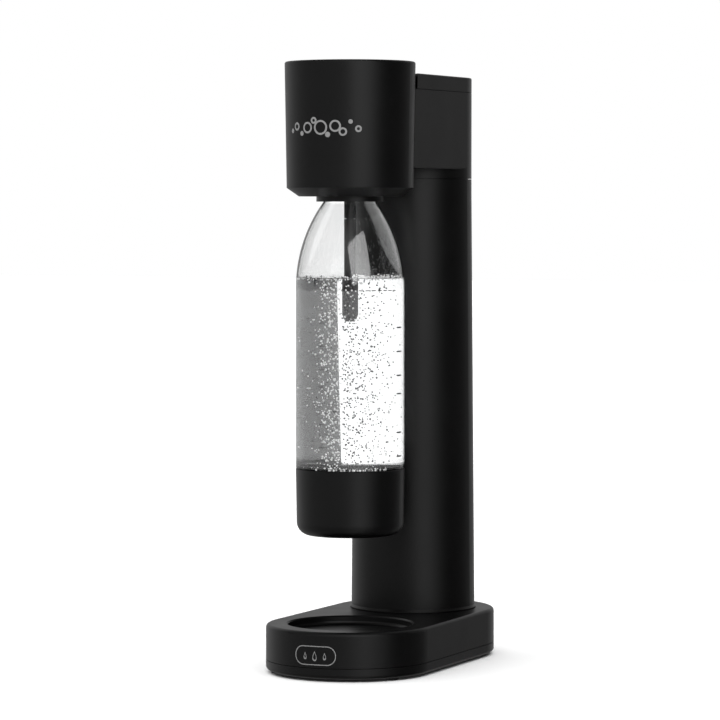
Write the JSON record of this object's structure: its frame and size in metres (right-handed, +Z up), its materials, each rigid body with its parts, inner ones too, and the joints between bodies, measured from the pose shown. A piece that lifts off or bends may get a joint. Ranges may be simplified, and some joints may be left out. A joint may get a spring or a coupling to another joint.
{
  "type": "soda carbonator",
  "caption": "Free-standing home drink carbonator: round head with push button over a hanging clear bottle, round column for a gas cylinder, stadium base with bottle recess.",
  "frame": {"origin": "on the table, under the middle of the base's outline", "axes": "+Z up; -Y is the front, where the bottle hangs; +Y is the back, where the column and its cover are; +X is the machine's left-hand side seen from behind, and the right-hand side seen from the front"},
  "size_m": [0.1208, 0.2338, 0.436],
  "materials": {
    "black_plastic": "satin moulded, fine texture",
    "black_gloss": "smooth black",
    "grey_plastic": "moulded, unpainted",
    "clear_plastic": "clear blown PET",
    "rubber": "matte",
    "steel": "zinc plated",
    "spring_steel": "drawn wire",
    "aluminium": "cast, bead blasted",
    "cylinder_paint": "painted gas cylinder",
    "brass": "machined",
    "hose": "nylon pressure hose"
  },
  "bodies": {
    "housing": {"base_shell": "black_plastic", "base_plate": "black_plastic", "foot_front_left": "rubber", "foot_front_right": "rubber", "foot_rear_left": "rubber", "foot_rear_right": "rubber", "base_screws": "steel", "cylinder_seat": "rubber", "column_shell": "black_plastic", "column_screws": "steel", "block_screws": "steel", "block_shell": "black_plastic", "top_lid": "black_plastic", "head_shell": "black_plastic", "button_guide": "grey_plastic", "guide_screws": "steel", "carrier_frame": "aluminium", "head_screws": "steel", "carrier_screws": "steel", "lever_pin": "steel", "lever_pin_clip": "spring_steel", "valve_holder": "brass", "valve_holder_screws": "steel", "valve_gasket": "rubber", "press_pin_seal": "rubber", "gas_hose": "hose", "hose_clamps": "spring_steel", "nozzle_block": "black_gloss", "nozzle_block_screws": "steel", "nozzle_stem": "black_gloss", "nozzle_tip": "black_gloss", "relief_valve_body": "brass", "relief_cap": "brass", "bottle_holder": "black_gloss", "holder_screws": "steel", "bottle_seal": "rubber"},
    "button": {"push_button": "black_plastic", "button_rod": "grey_plastic", "rod_clip": "spring_steel", "return_spring": "spring_steel"},
    "lever_arm": {"lever": "aluminium"},
    "press_pin_body": {"press_pin": "steel"},
    "gas_cylinder": {"co2_cylinder": "cylinder_paint", "cylinder_valve": "brass"},
    "valve_pin_body": {"valve_pin": "steel"},
    "relief_poppet_body": {"relief_poppet": "brass", "relief_spring": "spring_steel"},
    "bottle": {"bottle_body": "clear_plastic", "bottle_cup": "black_plastic"},
    "cover": {"rear_cover": "black_plastic"}
  },
  "joints": [
    {"name": "button_press", "type": "slide", "parent": "housing", "child": "button", "axis": [0, 0, -1], "range_m": [0, 0.008], "stiffness_N_per_m": 900, "springref_m": -0.006, "deforming": ["return_spring"]},
    {"name": "lever_tilt", "type": "hinge", "parent": "housing", "child": "lever_arm", "pos_m": [0, 0.086, 0.3962], "axis": [1, 0, 0], "range_deg": [0, 3.3]},
    {"name": "press_pin_slide", "type": "slide", "parent": "housing", "child": "press_pin_body", "axis": [0, 0, -1], "range_m": [0, 0.0017]},
    {"name": "cylinder_twist", "type": "hinge", "parent": "housing", "child": "gas_cylinder", "pos_m": [0, 0.0565, 0.2], "axis": [0, 0, 1], "range_deg": [0, 990]},
    {"name": "valve_pin_slide", "type": "slide", "parent": "gas_cylinder", "child": "valve_pin_body", "axis": [0, 0, -1], "range_m": [0, 0.0017]},
    {"name": "relief_pop", "type": "slide", "parent": "housing", "child": "relief_poppet_body", "axis": [-1, 0, 0], "range_m": [0, 0.0015], "stiffness_N_per_m": 1500, "springref_m": -0.002, "deforming": ["relief_spring"]},
    {"name": "bottle_lower", "type": "slide", "parent": "housing", "child": "bottle", "axis": [0, 0, -1], "range_m": [0, 0.068]},
    {"name": "rear_cover_off", "type": "slide", "parent": "housing", "child": "cover", "axis": [0, 1, 0], "range_m": [0, 0.06]}
  ],
  "couplings": [
    {"joint": "lever_tilt", "follows": "button_press", "rad_per_m": 7.0175},
    {"joint": "press_pin_slide", "follows": "button_press", "ratio": 0.20702},
    {"joint": "valve_pin_slide", "follows": "button_press", "ratio": 0.20702}
  ]
}
